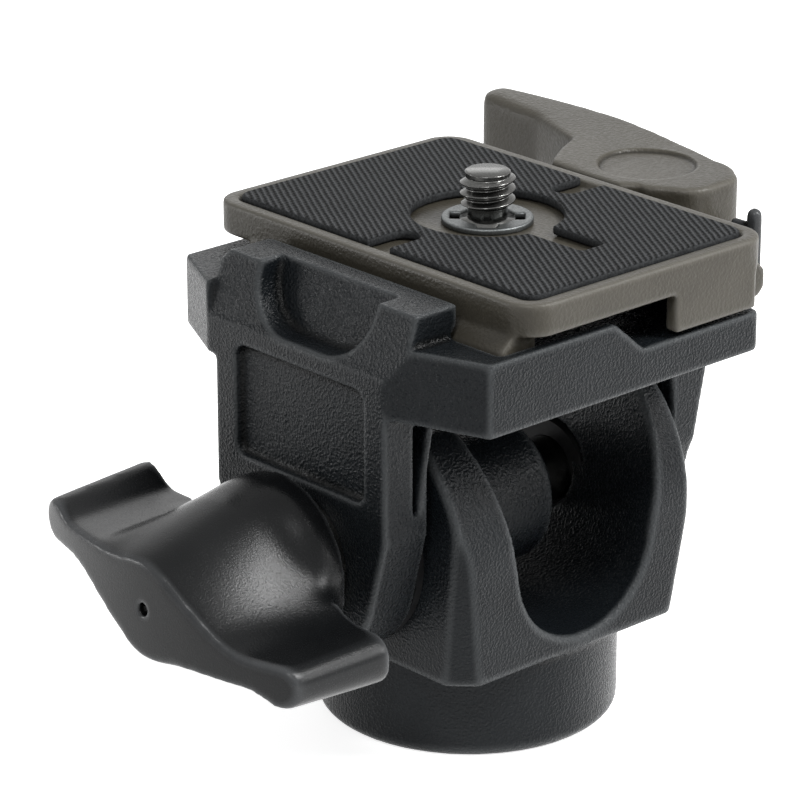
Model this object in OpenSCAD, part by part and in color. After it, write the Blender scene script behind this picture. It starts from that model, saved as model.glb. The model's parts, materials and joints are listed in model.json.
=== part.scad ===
// Tilt head for a monopod: a fork foot, a tilting platform with a lever clamp, and a quick-release plate.
// The origin is at the middle of the foot's underside, on the axis of its thread, and +Z is up.
// The tilt axis runs along Y, with the wing knob in front at -Y and the lever behind at +Y.

/* [Base and fork] */
// Diameter of the round foot
base_d = 35.3; // [33:0.1:38]
// Height of the round foot
base_h = 11.6; // [10.5:0.1:12.4]
// Chamfer of the foot's lower edge
base_edge = 0.8; // [0.3:0.1:1.5]
// Width of the square fork block, both ways
fork_w = 36.4; // [35.6:0.1:39]
// Rounding of the fork's upright corners at the foot, which fades towards the tilt axis
fork_foot_r = 5.4; // [4:0.1:6]
// Width of the bevels on the fork's front corners at the foot, which fade towards the ear's top
fork_bevel = 2.8; // [1.5:0.1:3.2]
// Height of the tilt axis
axis_h = 25.4; // [24.5:0.1:29]
// Radius of the round floor of the fork's hollow
hollow_r = 10.5; // [9.8:0.1:10.8]
// Place of the hollow's middle along Y
hollow_y = 1.4; // [0.6:0.1:1.6]
// Height of that floor
hollow_floor = 13.4; // [12.8:0.1:14.4]
// Flare of the hollow's walls, in degrees
hollow_flare = 11; // [6:0.5:12]
// Diameter of the pivot boss inside the hollow
boss_d = 17.6; // [16:0.1:20]
// How far that boss reaches past the middle
boss_reach = 6.6; // [3:0.1:8]
// Chamfer at the boss's end and root
boss_edge = 1.6; // [0.8:0.1:2]
// Diameter of the tapped hole for a 3/8 inch stud
base_thread_d = 7.94; // [7.5:0.01:8.5]
// Depth of that hole
base_thread_l = 9.5; // [8:0.1:11]

/* [Tilt pivot] */
// Diameter of the pivot bolt
bolt_d = 8; // [6:0.1:9]
// Width of its hexagon head across the flats
bolt_head_af = 13; // [12:0.1:14]
// Thickness of that head
bolt_head_t = 4; // [3.2:0.1:5]
// Wall of the bushes in the ears
bush_wall = 2; // [1:0.1:2.5]
// Length of those bushes
bush_l = 5.4; // [4:0.1:5.6]
// Diameter of the friction washers
washer_d = 24; // [18:0.1:24.6]
// Thickness of the friction washers
washer_t = 1; // [0.6:0.1:1.6]
// Radial clearance of a turning fit
running_gap = 0.05; // [0.02:0.01:0.09]
// Gap between flat faces that slide past each other
face_gap = 0.05; // [0.03:0.01:0.1]
// Gap round a piece that is seated for good
seat_gap = 0.03; // [0.02:0.01:0.06]

/* [Platform] */
// Reach of the deck to the left
deck_left = 24.5; // [24:0.1:27]
// Reach of the deck to the right
deck_right = 26.2; // [25.6:0.1:28]
// Reach of the deck's ends to the front
deck_front = 21.8; // [20.5:0.1:23.5]
// Reach of the deck to the back
deck_back = 20.7; // [19.4:0.1:22]
// Thickness of the deck
deck_t = 4.7; // [4:0.1:6]
// Gap between the ears and the deck above them
deck_clear = 1.9; // [1.8:0.1:4]
// Where the deck's slanted left front corner starts
nose_left = 15.5; // [14.5:0.1:17]
// Where the deck's slanted right front corner starts
nose_right = 13.7; // [12.5:0.1:15.5]
// Height of the ledges at the deck's ends
ledge_h = 3.8; // [3:0.1:4.2]
// Where the ledges' level top ends, behind the tilt axis when positive
ledge_end = -2.6; // [-5:0.1:0]
// Length of the ledges' slope
ledge_slope = 4.4; // [2:0.1:6]

/* [Cheeks] */
// Width of the cheeks
cheek_w = 28.5; // [26:0.1:30]
// Depth of a cheek at the pivot
cheek_t = 6.9; // [6.6:0.1:8]
// Wall of the front cheek away from the pivot
cheek_wall = 6.5; // [5.6:0.1:6.6]
// Diameter of the cheeks' round lower end
cheek_round_d = 24.8; // [24.7:0.1:27]
// Height above the tilt axis where the cheeks' sides start to draw in
cheek_taper = 5.2; // [4:0.1:8]
// Depth of the pockets in the front cheek's sides
pocket_l = 4.5; // [2:0.1:5]
// Wall left behind those pockets
pocket_wall = 0.9; // [0.8:0.1:1.3]
// Thickness of the front cheek's skin outside those pockets
skin_t = 4.4; // [3.6:0.1:4.8]
// Height above the tilt axis where those pockets end
pocket_low = 5; // [3:0.1:8]
// Thickness of the rear cheek's lower end
rear_cheek_t = 3.4; // [3:0.1:5]
// Thickness of the rear cheek's boss round the bolt head
rear_boss_t = 5.7; // [5.2:0.1:6.6]
// Width of the bare recessed panel on the front cheek
panel_w = 21.4; // [16:0.1:23]
// Height of that panel
panel_h = 13.2; // [10:0.1:14]
// Height of the panel's lower edge above the tilt axis
panel_low = 9.2; // [8.5:0.1:10]
// Depth of the panel
panel_depth = 1; // [0.4:0.1:1.5]
// Corner rounding of the panel
panel_r = 1.5; // [0.8:0.1:3]

/* [Fixed jaw] */
// Reach of the jaw to the left
jaw_left = 15.4; // [14:0.1:15.5]
// Reach of the jaw to the right
jaw_right = 16.8; // [14:0.1:16.9]
// Height of the jaw above the deck
jaw_h = 7.5; // [6.8:0.1:7.9]
// Height of the crease in the jaw's front above the deck's underside
jaw_crease = 4; // [3:0.1:4.6]
// How far the jaw's front leans back above that crease
jaw_lean = 2.2; // [1:0.1:3]
// Width of the thumb recess
thumb_w = 19.2; // [16:0.1:20]
// Place of the thumb recess along X
thumb_x = 1; // [-2:0.1:2]
// Depth of the thumb recess
thumb_depth = 3.3; // [1.5:0.1:3.8]
// Height of the recess's lower edge above the crease
thumb_low = 0.8; // [0.2:0.1:1.5]
// Rounding of the recess's left corner
thumb_r = 6; // [3:0.1:6.4]
// Rounding of its right corner
thumb_right_r = 7.2; // [3:0.1:7.4]
// Height of the slant at the jaw's left end
jaw_slant = 1.4; // [0.5:0.1:2.5]

/* [Quick-release plate] */
// Length of the plate along X
plate_l = 53; // [50:0.1:54]
// Width of the plate's rim along Y
plate_w = 38; // [37:0.1:39]
// Height of the plate
plate_h = 8.4; // [8:0.1:9.5]
// Place of the plate's middle along Y
plate_y = 2.68; // [2:0.01:3.4]
// Height of the plate's rim
rim_h = 3.9; // [3.5:0.1:4.4]
// Width of the rim round the pad
rim_t = 1.9; // [1.4:0.1:2.6]
// Depth of the pad's seat below the rim
seat_depth = 0.8; // [0.5:0.1:1.2]
// Thickness of the plate under the pad
web_t = 2.4; // [1.8:0.1:2.8]
// Corner rounding of the rim
plate_r = 3.6; // [1.5:0.1:4]
// How far the dovetail flanges stand out
flange_out = 1.8; // [1.2:0.1:2.1]
// Depth of the flanges inwards from the rim's face
flange_in = 3.4; // [2.5:0.1:4]
// Reach of the front flange to the left
flange_left = 19.3; // [18:0.1:20]
// Reach of the front flange to the right
flange_right = 24.1; // [22:0.1:24.3]
// Length of the deep skirts at the plate's ends
skirt_l = 13; // [8:0.1:14]
// Thickness of those skirts
skirt_t = 2; // [1.4:0.1:2.4]
// Gap under the seated plate
plate_gap = 0.6; // [0.4:0.1:0.9]

/* [Pad] */
// How far the pad stands above the rim
pad_proud = 0.4; // [0.2:0.1:1]
// Corner rounding of the pad
pad_r = 1.8; // [0.8:0.1:3]
// Diameter of the pad's middle hole
pad_hole_d = 17.6; // [15:0.1:20]
// Width of the channels across the pad
channel_w = 3.5; // [2:0.1:5]
// Reach of the slot that runs to the right
channel_reach = 17; // [12:0.1:20]
// Length of the notches in the pad's long edges
notch_l = 6; // [3:0.1:6.5]

/* [Camera screw] */
// Diameter of the camera screw
screw_d = 6.35; // [5:0.01:7]
// Height of the screw above the plate's rim
screw_reach = 5.4; // [4.5:0.1:6.5]
// Diameter of the screw's head
screw_head_d = 15; // [12:0.1:17]
// Thickness of that head
screw_head_t = 3.2; // [2:0.1:3.8]
// Diameter of the relief below the screw's thread
screw_relief_d = 5.2; // [4:0.1:5.4]
// Height of that relief
screw_relief_l = 0.6; // [0.4:0.1:1]
// Width of the coin slot
coin_slot_w = 1.6; // [1:0.1:2.5]
// Diameter of the retaining ring
ring_d = 10.6; // [10:0.1:13]
// Thickness of the retaining ring
ring_t = 0.7; // [0.5:0.1:1]
// Width of the notches inside the ring
ring_notch_w = 2.4; // [1:0.1:3]

/* [Lever] */
// Place of the lever's pivot along X
lever_x = 3; // [1:0.1:5]
// Radius of the lever's round end
lever_end_r = 6.8; // [6.5:0.1:7.6]
// Room between that end and the plate's flange
lever_clear = 0.72; // [0.5:0.01:1]
// Thickness of the lever
lever_t = 6; // [5.2:0.1:6.4]
// How far the lever's top lies under the rim's top
lever_drop = 0.2; // [0:0.1:0.6]
// Reach of the lever from its pivot to the tab's end
lever_reach = 37.1; // [34:0.1:42]
// Length of the finger tab
tab_l = 11; // [8:0.1:13]
// Thickness of the finger tab
tab_t = 4.6; // [3.5:0.1:6]
// How far the tab reaches below the lever
tab_drop = 2; // [0:0.1:2.4]
// Radius of the lever's long back edge
lever_back_r = 64; // [55:1:80]
// Gap between the lever's nose and the rim
nose_gap = 0.92; // [0.6:0.01:1.2]
// Gap between the lever's lip and the flange it holds down
lip_gap = 0.62; // [0.4:0.01:0.9]
// Diameter of the shallow round recess on the lever's top
dial_d = 12; // [8:0.1:13]
// Depth of that recess
dial_depth = 0.4; // [0.2:0.1:0.8]
// Diameter of the lever's shoulder screw
lever_screw_d = 6; // [5:0.1:6.4]
// Diameter of that screw's head
lever_head_d = 9; // [8:0.1:9.6]
// Thickness of that screw's head
lever_head_t = 2; // [1.4:0.1:2.6]
// Thickness of the washer under that head
lever_washer_t = 0.6; // [0.4:0.1:1]
// Depth of the lug's top below the deck's top
lug_drop = 1.2; // [0.8:0.1:1.6]

/* [Springs] */
// Wire of the lever's spring
lever_wire = 0.8; // [0.6:0.1:0.9]
// Turns of the lever's spring
lever_turns = 2.75; // [2:0.25:3]
// Wire of the release pin's spring
release_wire = 0.5; // [0.4:0.1:0.5]
// Turns of the release pin's spring
release_turns = 2; // [1.5:0.5:2]
// Wire of the catch's spring
catch_wire = 0.4; // [0.3:0.1:0.5]
// Turns of the catch's spring
catch_turns = 2; // [1.5:0.5:2]
// Least gap between the turns of a spring
turn_gap = 0.45; // [0.42:0.01:0.5]

/* [Release pin] */
// Place of the release pin along X
release_x = -12; // [-15:0.1:-10]
// Place of the release pin along Y
release_y = 13.5; // [12:0.1:14]
// Diameter of the release pin
release_d = 5; // [4:0.1:5.5]
// Height of its guide above the deck
release_guide_h = 2.8; // [2:0.1:3.4]

/* [Safety catch] */
// Place of the catch's post along X
catch_x = 14; // [13.4:0.1:15]
// Place of the catch's post along Y
catch_y = 32.4; // [31.5:0.1:33]
// Diameter of the post
catch_post_d = 1.8; // [1.4:0.1:2.2]
// Height of the post above the lug
catch_post_h = 7.8; // [6:0.1:9]
// Distance of the catch's hub from the post towards the lever
catch_offset = 1.2; // [0.8:0.1:1.6]
// Diameter of the catch's hub
catch_hub_d = 3.2; // [2.8:0.1:3.4]
// Length of the catch's hub
catch_hub_l = 2.6; // [2:0.1:3]
// Diameter of the pin in the hub
catch_pin_d = 1.6; // [1.2:0.1:1.8]

/* [Wing knob] */
// Diameter of the knob's round base
knob_d = 21.6; // [20:0.1:25]
// Depth of the knob from its base to its front
knob_depth = 19.5; // [16:0.1:20.5]
// Diameter of the collar behind the knob
collar_d = 17; // [15:0.1:20]
// Length of that collar
collar_l = 2.2; // [1.5:0.1:4]
// Span of the wings from tip to tip
wing_span = 43.2; // [38:0.1:48]
// Thickness of a wing at its tip
wing_t = 4.9; // [4:0.1:6]
// How far each wing's tip lies off the knob's middle plane
wing_offset = 3.9; // [3:0.1:4.4]
// Gap between the back of the wings and the knob's base
wing_gap = 2.2; // [1.5:0.1:5]
// How much thicker a wing's tip is at its back
wing_flare = 1; // [0:0.1:2]
// Where the finger scoops start to rise towards the wings' tips
scoop_x = 15; // [12:0.1:16]
// Depth of the finger scoops
scoop_depth = 1.3; // [0.5:0.1:2.2]
// Radius of the bow of the knob's front from wing to wing
front_bow_r = 62; // [50:1:200]
// Height of the knob's front above its axis
front_h = 5.7; // [5:0.1:6.4]
// Slope of the front's edge from the middle down to a wing, in degrees
slant = 32; // [26:0.5:40]
// Where that slope passes the height of the axis
slant_x = 10.7; // [9.5:0.1:12]
// Height of the crest above the axis at the back of the wings
crest_h = 10.6; // [8.5:0.1:11]
// Width of the crest's sweep down to a wing
crest_w = 16; // [13:0.1:18]
// Diameter of the mould mark in the middle of the front
mark_d = 1.5; // [0.8:0.1:2.5]
// Depth of that mark
mark_depth = 1.2; // [0.5:0.1:2]
// Diameter of the thrust washer
thrust_d = 16; // [14:0.1:18]
// Thickness of the thrust washer
thrust_t = 1; // [0.6:0.1:1.5]
// Diameter of the threaded insert
insert_d = 11.4; // [10.6:0.1:12]
// Length of the threaded insert
insert_l = 9; // [7:0.1:10]

/* [Hidden] */
$fn = 64;
cut = 1;

casting = "#27292c";
taupe = "#77736a";
rubber = "#2d2f31";
plastic = "#1f2022";
steel = "#8d8f90";
brass = "#b5914f";
nylon = "#2b2c2e";

// Fork and pivot
ear_r = fork_w / 2;
ear_top = axis_h + ear_r;
bolt_r = bolt_d / 2;
bush_r = bolt_r + running_gap + bush_wall;
washer_r = washer_d / 2;
cheek_in = ear_r + washer_t + 2 * face_gap;
cheek_out = cheek_in + cheek_t;
head_y = cheek_in + rear_boss_t - bolt_head_t + 0.5;

// Platform levels
deck_z = ear_top + deck_clear;
deck_top = deck_z + deck_t;
ledge_top = deck_top + ledge_h;
jaw_top = deck_top + jaw_h;
web_y = ear_r + 0.3;
web_low = deck_z - 1.55;

// Plate levels and reach
plate_z = deck_top + plate_gap;
rim_top = plate_z + plate_h;
rim_low = rim_top - rim_h;
pad_z = rim_top - seat_depth;
web_z = pad_z - web_t;
plate_half = plate_w / 2;
plate_back = plate_y + plate_half;
plate_face = plate_y - plate_half;
neck_z = rim_low + 0.3;
nose_z = neck_z - flange_out;
groove_y = plate_face - flange_out - 0.6;
lip_y = plate_face - 1.4;
ledge_right = flange_right + 0.4;
ledge_left = flange_left + 0.4;

// Lever
lever_y = plate_back + flange_out + lever_clear + lever_end_r;
lever_top = rim_top - lever_drop;
lever_z = lever_top - lever_t;
lever_front = plate_back + nose_gap;
lever_back_y = lever_front + flange_out - 0.5;
lug_z = deck_top - lug_drop;
hub_top = lever_z - 0.3;
spring_well_r = lever_screw_d / 2 + lever_wire + 1.7;
spring_core_r = lever_screw_d / 2 + 0.9;
lever_coil_r = (spring_well_r + spring_core_r) / 2;
lever_head_z = deck_z - lever_washer_t - 2 * face_gap - lever_head_t;

// Release pin
release_floor = deck_z + 1;
release_guide_top = deck_top + release_guide_h;
release_spring_l = release_turns * (release_wire + turn_gap) + release_wire;
release_pin_z = release_floor + release_spring_l + 0.2;
release_pin_top = web_z - 0.4;

// Catch
catch_axis_x = catch_x - catch_offset;
catch_axis_z = lug_z - catch_hub_d / 2;
catch_spring_l = catch_turns * (catch_wire + turn_gap) + catch_wire;
catch_hub_back = catch_y + catch_post_d / 2;
catch_hub_front = catch_hub_back - catch_hub_l;
catch_lug_back = catch_hub_front - catch_spring_l - 0.4;
catch_pin_front = catch_lug_back - 4;
catch_pin_back = catch_hub_back + 0.2;

// Knob, measured along -Y
collar_y = cheek_out + thrust_t + 2 * face_gap;
knob_y = collar_y + collar_l;
knob_front_y = knob_y + knob_depth;
bolt_end_y = knob_y + insert_l - 0.5;
wing_tip_r = wing_t / 2;
wing_back_y = knob_y + wing_gap;

// Draws a profile in X and Z, and extrudes it along Y from y0 to y1
module along_y(y0, y1) {
    translate([0, y1, 0])
    rotate([90, 0, 0])
    linear_extrude(height = y1 - y0)
    children();
}

// Draws a profile in Y and Z, and extrudes it along X from x0 to x1
module along_x(x0, x1) {
    translate([x0, 0, 0])
    rotate([90, 0, 90])
    linear_extrude(height = x1 - x0)
    children();
}

// Round bar on the tilt axis from y0 to y1
module pivot_rod(r, y0, y1) {
    translate([0, y1, axis_h])
    rotate([90, 0, 0])
    cylinder(r = r, h = y1 - y0);
}

// Tube on the tilt axis from y0 to y1
module pivot_tube(r, bore_r, y0, y1) {
    difference() {
        pivot_rod(r, y0, y1);
        pivot_rod(bore_r, y0 - cut, y1 + cut);
    }
}

// Rectangle with round corners about the origin
module round_rect(w, d, r) {
    square([w - 2 * r, d], center = true);
    square([w, d - 2 * r], center = true);
    for (sx = [-1, 1], sy = [-1, 1])
        translate([sx * (w / 2 - r), sy * (d / 2 - r)])
        circle(r = r);
}

// Spring of round wire about Z: a helix with a straight tail of one wire's width at each end
coil_sides = 6;
coil_steps = 8;

function coil_turn(a, r, pitch) = [r * cos(a), r * sin(a), pitch * a / 360];
function coil_way(a) = [-sin(a), cos(a), 0];
function coil_path(r, pitch, turns, tail) =
    let (last = 360 * turns)
    concat(
        [[0, coil_turn(0, r, pitch) - tail * coil_way(0)]],
        [for (i = [0 : coil_steps * turns]) let (a = i * 360 / coil_steps) [a, coil_turn(a, r, pitch)]],
        [[last, coil_turn(last, r, pitch) + tail * coil_way(last)]]
    );
function coil_ring(stop, wire_r) =
    [for (k = [0 : coil_sides - 1])
        let (b = 360 * k / coil_sides)
        stop[1] + wire_r * (cos(b) * [cos(stop[0]), sin(stop[0]), 0] + sin(b) * [0, 0, 1])];

module coil(r, wire, turns) {
    pitch = wire + turn_gap;
    path = coil_path(r, pitch, turns, wire);
    count = len(path);
    points = [for (stop = path) each coil_ring(stop, wire / 2)];
    sides = [
        for (i = [0 : count - 2], k = [0 : coil_sides - 1])
        let (
            a = i * coil_sides + k,
            b = i * coil_sides + (k + 1) % coil_sides,
            c = a + coil_sides,
            d = b + coil_sides
        )
        each [[a, b, d], [a, d, c]]
    ];
    first = [for (k = [1 : coil_sides - 2]) [0, k + 1, k]];
    base = (count - 1) * coil_sides;
    last = [for (k = [1 : coil_sides - 2]) [base, base + k, base + k + 1]];
    gap = min([
        for (i = [1 : count - 2 - coil_steps])
        norm(path[i + coil_steps][1] - path[i][1]) - wire
    ]);
    echo(spring_gap = gap);
    translate([0, 0, wire / 2])
    polyhedron(points = points, faces = concat(sides, first, last));
}

// Fork

// Outline of an ear in X and Z: round about the tilt axis and straight below it
module ear_outline() {
    translate([0, axis_h])
    circle(r = ear_r);
    translate([-ear_r, 0])
    square([fork_w, axis_h]);
}

// Block with that outline, its upright corners cut by a cone: round at the foot, sharp at the tilt axis
module fork_outside() {
    corner_r = ear_r * sqrt(2);
    foot_r = corner_r - fork_foot_r * (sqrt(2) - 1);
    rise = axis_h - base_h;
    intersection() {
        along_y(-ear_r, ear_r) ear_outline();
        translate([0, 0, base_h - cut])
        cylinder(r1 = foot_r, r2 = foot_r + 2 * (corner_r - foot_r), h = 2 * rise + 2 * cut);
        translate([0, 0, base_h])
        cylinder(r = 2 * fork_w, h = fork_w);
    }
}

module hollow_outline() {
    mid_z = hollow_floor + hollow_r;
    top_z = ear_top + cut;
    wall_r = hollow_r - 0.05;
    touch = wall_r * [cos(hollow_flare), -sin(hollow_flare)];
    top_half = wall_r / cos(hollow_flare) + (top_z - mid_z) * tan(hollow_flare);
    translate([hollow_y, mid_z]) {
        circle(r = hollow_r);
        polygon([
            [-touch[0], touch[1]], touch,
            [top_half, top_z - mid_z], [-top_half, top_z - mid_z]
        ]);
    }
}

// Bevels on the fork's front corners
module fork_bevels() {
    depth = fork_bevel / sqrt(2);
    lean = atan(depth / (ear_top - base_h));
    for (side = [-1, 1])
        translate([side * ear_r, -ear_r, base_h])
        rotate([0, 0, side > 0 ? -45 : -135])
        translate([-depth, 0, 0])
        rotate([0, lean, 0])
        translate([0, -ear_r / 2, -cut])
        cube([ear_r / 2, ear_r, 2 * ear_top]);
}

module fork_block() {
    difference() {
        fork_outside();
        fork_bevels();
        along_x(-fork_w, fork_w) hollow_outline();
    }
}

module foot() {
    cylinder(d1 = base_d - 2 * base_edge, d2 = base_d, h = base_edge);
    translate([0, 0, base_edge])
    cylinder(d = base_d, h = base_h + 0.5 - base_edge);
}

module pivot_boss() {
    boss_r = boss_d / 2;
    ear_face = hollow_y - hollow_r - boss_edge;
    pivot_rod(boss_r, ear_face - boss_edge, boss_reach - boss_edge);
    translate([0, boss_reach, axis_h])
    rotate([90, 0, 0])
    cylinder(r1 = boss_r - boss_edge, r2 = boss_r, h = boss_edge);
    translate([0, ear_face + 2 * boss_edge, axis_h])
    rotate([90, 0, 0])
    cylinder(r1 = boss_r, r2 = boss_r + boss_edge, h = 2 * boss_edge);
}

module base_fork() {
    color(casting)
    difference() {
        union() {
            foot();
            fork_block();
            pivot_boss();
        }
        translate([0, 0, -cut])
        cylinder(d = base_thread_d, h = base_thread_l + cut);
        pivot_rod(bolt_r + 0.3, -fork_w, fork_w);
        pivot_rod(bush_r + seat_gap, -fork_w, bush_l - ear_r);
        pivot_rod(bush_r + seat_gap, ear_r - bush_l, fork_w);
    }
}

module bush(side) {
    y0 = side < 0 ? -ear_r : ear_r - bush_l;
    color(nylon)
    pivot_tube(bush_r, bolt_r + running_gap, y0, y0 + bush_l);
}

module bush_front() {
    bush(-1);
}

module bush_rear() {
    bush(1);
}

// Platform

module deck_plan() {
    edge_r = 1.2;
    polygon([
        [-deck_left, deck_back - edge_r],
        [edge_r - deck_left, deck_back],
        [deck_right - edge_r, deck_back],
        [deck_right, deck_back - edge_r],
        [deck_right, -deck_front],
        [nose_right, -cheek_out],
        [-nose_left, -cheek_out],
        [-deck_left, -deck_front]
    ]);
    for (x = [edge_r - deck_left, deck_right - edge_r])
        translate([x, deck_back - edge_r])
        circle(r = edge_r);
}

// Walls in front of the plate to both sides of the jaw
module front_walls() {
    reach = 2 * cheek_out;
    translate([0, 0, deck_z])
    linear_extrude(height = deck_t + ledge_h)
    intersection() {
        deck_plan();
        union() {
            translate([-reach - jaw_left + 0.05, -reach])
            square([reach, reach - abs(groove_y)]);
            translate([jaw_right - 0.05, -reach])
            square([reach, reach - abs(groove_y)]);
        }
    }
}

module end_ledge(x0, x1) {
    along_x(x0, x1)
    polygon([
        [groove_y - 0.5, deck_z],
        [groove_y - 0.5, ledge_top],
        [ledge_end, ledge_top],
        [ledge_end + ledge_slope, deck_top],
        [ledge_end + ledge_slope, deck_z]
    ]);
}

// Points on an arc about c from angle a0 to a1
function arc_points(c, r, a0, a1) =
    let (steps = 10)
    [for (i = [0 : steps]) let (a = a0 + (a1 - a0) * i / steps) c + r * [cos(a), sin(a)]];

// Outline of the thumb recess in X and Z: a trough with round lower corners, open at the top
module thumb_outline() {
    low = deck_z + jaw_crease + thumb_low;
    left = thumb_x - thumb_w / 2;
    right = thumb_x + thumb_w / 2;
    polygon(concat(
        [[left, jaw_top + 2 * cut]],
        arc_points([left + thumb_r, low + thumb_r], thumb_r, 180, 270),
        arc_points([right - thumb_right_r, low + thumb_right_r], thumb_right_r, 270, 360),
        [[right, jaw_top + 2 * cut]]
    ));
}

module fixed_jaw() {
    crease_z = deck_z + jaw_crease;
    lean_y = jaw_lean - cheek_out;
    lean = jaw_lean / (jaw_top - crease_z);
    jaw_gap = 1.1;
    difference() {
        along_x(-jaw_left, jaw_right)
        polygon([
            [-cheek_out, deck_z],
            [-cheek_out, crease_z],
            [lean_y, jaw_top],
            [lip_y, jaw_top],
            [lip_y, neck_z + lip_y - plate_face + jaw_gap],
            [groove_y, neck_z + groove_y - plate_face + jaw_gap],
            [groove_y, deck_z]
        ]);
        intersection() {
            along_y(-2 * cheek_out, 0) thumb_outline();
            along_x(-deck_left, deck_right)
            polygon([
                [-2 * cheek_out, deck_z],
                [thumb_depth - cheek_out, deck_z],
                [thumb_depth - cheek_out, crease_z],
                [lean_y + thumb_depth + lean * cut, jaw_top + cut],
                [-2 * cheek_out, jaw_top + cut]
            ]);
        }
        along_y(-2 * cheek_out, 0)
        polygon([
            [-jaw_left - cut, jaw_top - jaw_slant - cut],
            [jaw_slant - jaw_left + cut, jaw_top + cut],
            [-jaw_left - cut, jaw_top + cut]
        ]);
        translate([0, 0, deck_z - cut])
        linear_extrude(height = jaw_top)
        polygon([
            [nose_right, -cheek_out],
            [nose_right, -2 * cheek_out],
            [deck_right, -2 * cheek_out],
            [deck_right, -deck_front]
        ]);
    }
}

// Outline of a cheek in X and Z: upright sides that draw in to a round end about the tilt axis
module cheek_outline() {
    half = cheek_w / 2;
    round_r = cheek_round_d / 2;
    reach = norm([half, cheek_taper]);
    turn = atan2(cheek_taper, half) - acos(min(1, round_r / reach));
    touch = round_r * [cos(turn), sin(turn)];
    top = deck_z + cut - axis_h;
    translate([0, axis_h]) {
        circle(r = round_r);
        polygon([
            [-half, top], [half, top],
            [half, cheek_taper], touch,
            [-touch[0], touch[1]], [-half, cheek_taper]
        ]);
    }
}

module front_cheek() {
    low = axis_h - cheek_round_d;
    wall_y = cheek_wall - cheek_out;
    slope_z = axis_h + washer_r + 0.4;
    intersection() {
        along_y(-cheek_out, 0) cheek_outline();
        along_x(-cheek_w, cheek_w)
        polygon([
            [-cheek_out, low],
            [-cheek_out, deck_top],
            [1.5 - web_y, deck_top],
            [1.5 - web_y, deck_z],
            [-web_y, web_low],
            [wall_y, slope_z],
            [wall_y, low]
        ]);
    }
    pivot_rod(washer_r, -cheek_out + 1, -cheek_in);
}

// Pockets that open to both sides of the front cheek
module cheek_pockets() {
    skin_y = skin_t - cheek_out;
    low_z = axis_h + pocket_low;
    for (side = [-1, 1])
        translate([side * (cheek_w - pocket_l), 0, 0])
        along_x(-cheek_w / 2, cheek_w / 2)
        polygon([
            [skin_y, web_low],
            [-web_y - pocket_wall, web_low],
            [skin_y + 0.3, low_z],
            [skin_y, low_z]
        ]);
}

module cheek_panel() {
    translate([0, 0, axis_h + panel_low + panel_h / 2])
    along_y(-cheek_out - cut, panel_depth - cheek_out)
    round_rect(panel_w, panel_h, panel_r);
}

module rear_cheek() {
    low = axis_h - cheek_round_d;
    outer = cheek_in + rear_cheek_t;
    slope_z = axis_h + cheek_taper - 1.6;
    intersection() {
        along_y(0, cheek_out) cheek_outline();
        along_x(-cheek_w, cheek_w)
        polygon([
            [web_y, web_low],
            [web_y - 1.5, deck_z],
            [web_y - 1.5, deck_top],
            [cheek_out, deck_top],
            [cheek_out, deck_z],
            [outer, slope_z],
            [outer, low],
            [cheek_in, low],
            [cheek_in, axis_h + washer_r]
        ]);
    }
    pivot_rod(bolt_head_af * 0.73, cheek_in, cheek_in + rear_boss_t);
}

// Lug behind the deck that carries the lever and the catch
module lever_lug() {
    right = catch_axis_x + catch_hub_d / 2;
    translate([0, 0, deck_z])
    linear_extrude(height = lug_z - deck_z) {
        translate([lever_x, lever_y])
        circle(r = lever_end_r);
        polygon([
            [lever_x - lever_end_r - 5, deck_back - cut],
            [right, deck_back - cut],
            [right, catch_lug_back],
            [lever_x + lever_end_r * 0.8, catch_lug_back],
            [lever_x + lever_end_r, lever_y],
            [lever_x - lever_end_r, lever_y]
        ]);
    }
    translate([lever_x, lever_y, lug_z - 0.5])
    cylinder(r = lever_end_r - 0.4, h = hub_top - lug_z + 0.5);
}

module lug_cuts() {
    translate([lever_x, lever_y, deck_z - lug_z])
    cylinder(d = lever_head_d + 0.6, h = lug_z);
    translate([lever_x, lever_y, deck_z - cut])
    cylinder(d = lever_screw_d + 2 * running_gap, h = hub_top - deck_z + 2 * cut);
    translate([lever_x, lever_y, lug_z + 0.3])
    difference() {
        cylinder(r = spring_well_r, h = hub_top - lug_z);
        translate([0, 0, -cut])
        cylinder(r = spring_core_r, h = hub_top - lug_z + 2 * cut);
    }
    translate([catch_axis_x, catch_pin_back, catch_axis_z])
    rotate([90, 0, 0])
    cylinder(d = catch_pin_d + 2 * seat_gap, h = catch_pin_back - catch_pin_front + 0.1);
}

module tilt_platform() {
    color(casting)
    difference() {
        union() {
            translate([0, 0, deck_z])
            linear_extrude(height = deck_t) deck_plan();
            front_walls();
            end_ledge(ledge_right, deck_right);
            end_ledge(-deck_left, -ledge_left);
            fixed_jaw();
            front_cheek();
            rear_cheek();
            lever_lug();
            translate([release_x, release_y, deck_z])
            cylinder(d = release_d + 4, h = release_guide_top - deck_z);
        }
        cheek_pockets();
        cheek_panel();
        lug_cuts();
        pivot_rod(bolt_r + 0.2, -2 * cheek_out, 2 * cheek_out);
        translate([0, head_y, axis_h])
        rotate([-90, 0, 0])
        cylinder(d = (bolt_head_af + 4 * seat_gap) / cos(30), h = bolt_head_t + cut, $fn = 6);
        translate([release_x, release_y, release_floor])
        cylinder(d = release_d + 2 * running_gap, h = release_guide_top);
    }
}

module friction_washer(side) {
    y0 = side < 0 ? -cheek_in + face_gap : cheek_in - face_gap - washer_t;
    color(nylon)
    pivot_tube(washer_r, bolt_r + 0.2, y0, y0 + washer_t);
}

module friction_washer_front() {
    friction_washer(-1);
}

module friction_washer_rear() {
    friction_washer(1);
}

module pivot_bolt() {
    color(steel) {
        pivot_rod(bolt_r, -bolt_end_y, head_y + 0.5);
        translate([0, head_y + seat_gap, axis_h])
        rotate([-90, 0, 0])
        cylinder(d = bolt_head_af / cos(30), h = bolt_head_t, $fn = 6);
    }
}

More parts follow.
